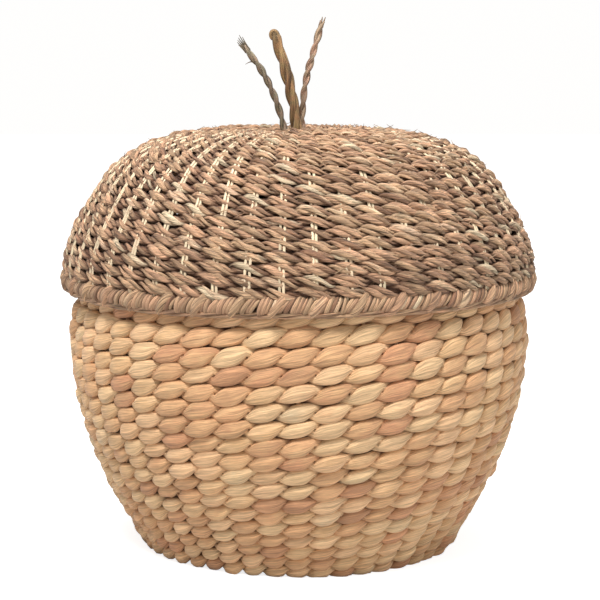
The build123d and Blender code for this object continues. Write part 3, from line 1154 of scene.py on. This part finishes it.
class BASKET_OT_rim(Operator):
    """The lid's rolled rim: fans of wraps over the roll, with a band of grass along its lower edge"""

    bl_idname = "basket.rim"
    bl_label = "Lid rim"

    def execute(self, context):
        settings = context.scene.basket_lid
        self.roll(settings)
        self.band(settings)
        return {"FINISHED"}

    def roll(self, settings):
        """Each wrap goes over the roll from its inner top edge to its inner bottom edge, at an angle p round
        the section from 0.8 pi to -0.8 pi. The wraps of one pair of ribs start close together at the top and
        spread out downwards, which leans them over to the right."""
        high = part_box("lid_rim")[1]
        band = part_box("lid_rim_band")
        half_deep = settings.rim_roll / 2
        bottom = band[0].z * 0.7 + band[1].z * 0.3
        half_tall = (high.z - bottom) / 2 + 0.6 * MM
        radius, middle = high.x - half_deep, (high.z + bottom) / 2
        rng = np.random.default_rng(SEEDS["roll"])
        pitch = TURN / settings.ribs
        p = np.linspace(0.8, -0.8, 15) * np.pi
        front = np.clip(p, -np.pi / 2, np.pi / 2)
        fall = (1 - np.sin(front)) / 2
        core = (1.54 * half_deep, 1.54 * half_tall)
        tubes = [roll_strand((radius - 1 * MM, middle, math.pi / 2), 40, 12, 0.0, core, 0.5, rng)]
        for wrap in range(settings.ribs * settings.wraps):
            k, j = divmod(wrap, settings.wraps)
            share = (j + 0.5) / settings.wraps
            top = k + 0.5 + 0.18 + 0.78 * share + rng.normal(0, 0.02)
            foot = k + 0.5 - 0.22 + 1.0 * share + rng.normal(0, 0.03)
            bow = -0.10 * (1 - share) * np.cos(front)
            angle = pitch * (top + (foot - top) * fall + bow)
            puff = 1 + rng.normal(0, 0.08)
            r = radius + (half_deep - 1.3 * MM) * puff * np.cos(p)
            z = middle + (half_tall - 1.0 * MM) * puff * np.sin(p) + settle(angle, 0.2, 1.0 * MM)
            points = np.stack([r * np.cos(angle), r * np.sin(angle), z], -1)
            width = settings.wrap_width / 2 * (1 + rng.normal(0, 0.12))
            # Each wrap is painted lighter on the roll's outer face and darker where it turns in at the top
            # and bottom: painted light and painted shade.
            tone = np.clip(rng.normal(0.32, 0.24) + 0.1 * np.cos(p), 0, 1)
            side = np.array([math.sin(angle[7]), -math.cos(angle[7]), 0])
            tubes.append(open_tube(points, 1.35 * MM, width, side, tone, 8, 1.15, 3 * settings.wrap_width))
        finished_piece("rim_wraps", tubes, seagrass(), "lid", "seagrass", "lid_rim")

    def band(self, settings):
        """A flat rope of four strands that hardly winds. Their tone is lowered, and their painted shade
        deepened.
        """
        low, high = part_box("lid_rim_band")
        rng = np.random.default_rng(SEEDS["band"])
        ring = (high.x - 4 * MM, low.z + 2 * MM, math.radians(75))
        half = (settings.rim_band / 2 + 0.9 * MM, (high.z - low.z) / 2 + 0.2 * MM)
        tubes = [roll_strand(ring, settings.ribs, 10, k / 4, half, 0.46, rng, 0.2) for k in range(4)]
        # A lower tone darkens the band, and lower exposed values deepen its painted shade.
        for tube in tubes:
            tube["tone"] = 0.55 * tube["tone"]
            tube["exposed"] = 0.75 * tube["exposed"]
        finished_piece("rim_band", tubes, seagrass(), "lid", "seagrass", "lid_rim_band")


class BASKET_OT_centre(Operator):
    """The woven button in the lid's dimple, and the knot below it that holds the stalks"""

    bl_idname = "basket.centre"
    bl_label = "Lid centre and knot"

    def execute(self, context):
        settings = context.scene.basket_lid
        low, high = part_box("lid_centre")
        thickness, middle = high.z - low.z, (high.z + low.z) / 2
        rng = np.random.default_rng(SEEDS["centre"])
        step = high.x / 2.6
        tubes = []
        for radius, ribs in ((high.x - step / 2, 10), (high.x - 1.5 * step, 6)):
            course = (radius, middle, math.pi, step, ribs, 0.25)
            for strand in (0, 1):
                tubes += lid_strand(course, thickness, settings, strand, rng, 16, 7)
        tubes.append(knob(0.5 * high.x - 0.5 * step, low.z + 1 * MM, thickness - 2 * MM, rng))
        finished_piece("lid_button", tubes, seagrass(), "lid", "seagrass", "lid_centre")
        knot = self.knot(*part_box("stalk_knot"))
        finished_piece("knot_loops", [knot], seagrass(), "lid", "stalk_brown", "stalk_knot")
        return {"FINISHED"}

    def knot(self, low, high):
        """A trefoil knot of one strand: radius a + b cos(3t), height c sin(3t), at the angle 2t, t from 0 to
        TURN."""
        half, b = 2.9 * MM, 2.9 * MM
        t = np.arange(96) / 96 * TURN
        r = high.x - half - b + b * np.cos(3 * t)
        z = (low.z + high.z) / 2 + ((high.z - low.z) / 2 - half) * np.sin(3 * t)
        centre = np.stack([r * np.cos(2 * t), r * np.sin(2 * t), z], -1)
        out = np.stack([np.cos(2 * t), np.sin(2 * t), 0 * t], -1)
        first, second = cross_axes(unit(np.roll(centre, -1, 0) - np.roll(centre, 1, 0)), out)
        x, y = section(12, 1.0)
        grid = centre[:, None] + half * (x[:, None] * first[:, None] + y[:, None] * second[:, None])
        tone = (0.5 + 0.25 * np.sin(5 * t))[:, None]
        return make_tube(grid, np.linspace(0, 0.12, len(t) + 1), TURN * half, tone, closed=True)


class BASKET_OT_frays(Operator):
    """Loose fibres that stand off the lid and its rim"""

    bl_idname = "basket.frays"
    bl_label = "Lid frays"

    def execute(self, context):
        settings = context.scene.basket_lid
        radius, height, slope, pitch = course_line(LID_NODES, settings.thickness)
        rng = np.random.default_rng(SEEDS["frays"])
        t = np.linspace(0, 1, 7)
        taper = 1.05 - 0.8 * t
        bare_courses = 3
        tubes = []
        for _ in range(settings.frays):
            k = rng.integers(0, len(LID_NODES) - bare_courses)
            start, length = rng.random() * TURN, rng.uniform(5, 15) * MM
            lift = rng.uniform(0.5, 3.2) * MM
            angle = start + rng.choice((-1, 1)) * length * t / radius[k]
            out = settings.thickness / 2 - 1.2 * MM + lift * t**1.5
            up = rng.normal(0, 0.3) * pitch[k] + rng.normal(0, 0.35) * length * t
            points = place(radius[k], height[k], slope[k], angle, out, up)
            axis = (0.02, 0.01, 1)
            tubes.append(open_tube(points, 0.32 * MM * taper, 0.5 * MM * taper, axis, rng.random(), 5))
        finished_piece("lid_frays", tubes, seagrass(), "lid", "seagrass")
        return {"FINISHED"}


class BASKET_PT_panel(Panel):
    """Lists the pieces that can be drawn"""

    bl_label = "Basket"
    bl_idname = "BASKET_PT_panel"
    bl_space_type = "VIEW_3D"
    bl_region_type = "UI"
    bl_category = "Basket"

    def draw(self, context):
        for operator in OPERATORS:
            self.layout.operator(operator.bl_idname)


SETTINGS = {
    "basket_wall": WallSettings,
    "basket_lid": LidSettings,
    "basket_stalk": StalkSettings,
    "basket_finish": FinishSettings,
    "basket_stage": StageSettings,
}
OPERATORS = [
    BASKET_OT_stage,
    BASKET_OT_stalks,
    BASKET_OT_wall,
    BASKET_OT_border,
    BASKET_OT_base,
    BASKET_OT_lid,
    BASKET_OT_ribs,
    BASKET_OT_rim,
    BASKET_OT_centre,
    BASKET_OT_frays,
]


def register():
    for group in SETTINGS.values():
        bpy.utils.register_class(group)
    for operator in OPERATORS:
        bpy.utils.register_class(operator)
    bpy.utils.register_class(BASKET_PT_panel)
    for name, group in SETTINGS.items():
        setattr(bpy.types.Scene, name, PointerProperty(type=group))


def unregister():
    for name in SETTINGS:
        delattr(bpy.types.Scene, name)
    bpy.utils.unregister_class(BASKET_PT_panel)
    for operator in reversed(OPERATORS):
        bpy.utils.unregister_class(operator)
    for group in reversed(SETTINGS.values()):
        bpy.utils.unregister_class(group)


def main():
    """Draws every piece in order."""
    register()
    for operator in OPERATORS:
        family, name = operator.bl_idname.split(".")
        getattr(getattr(bpy.ops, family), name)()


if __name__ == "__main__":
    main()
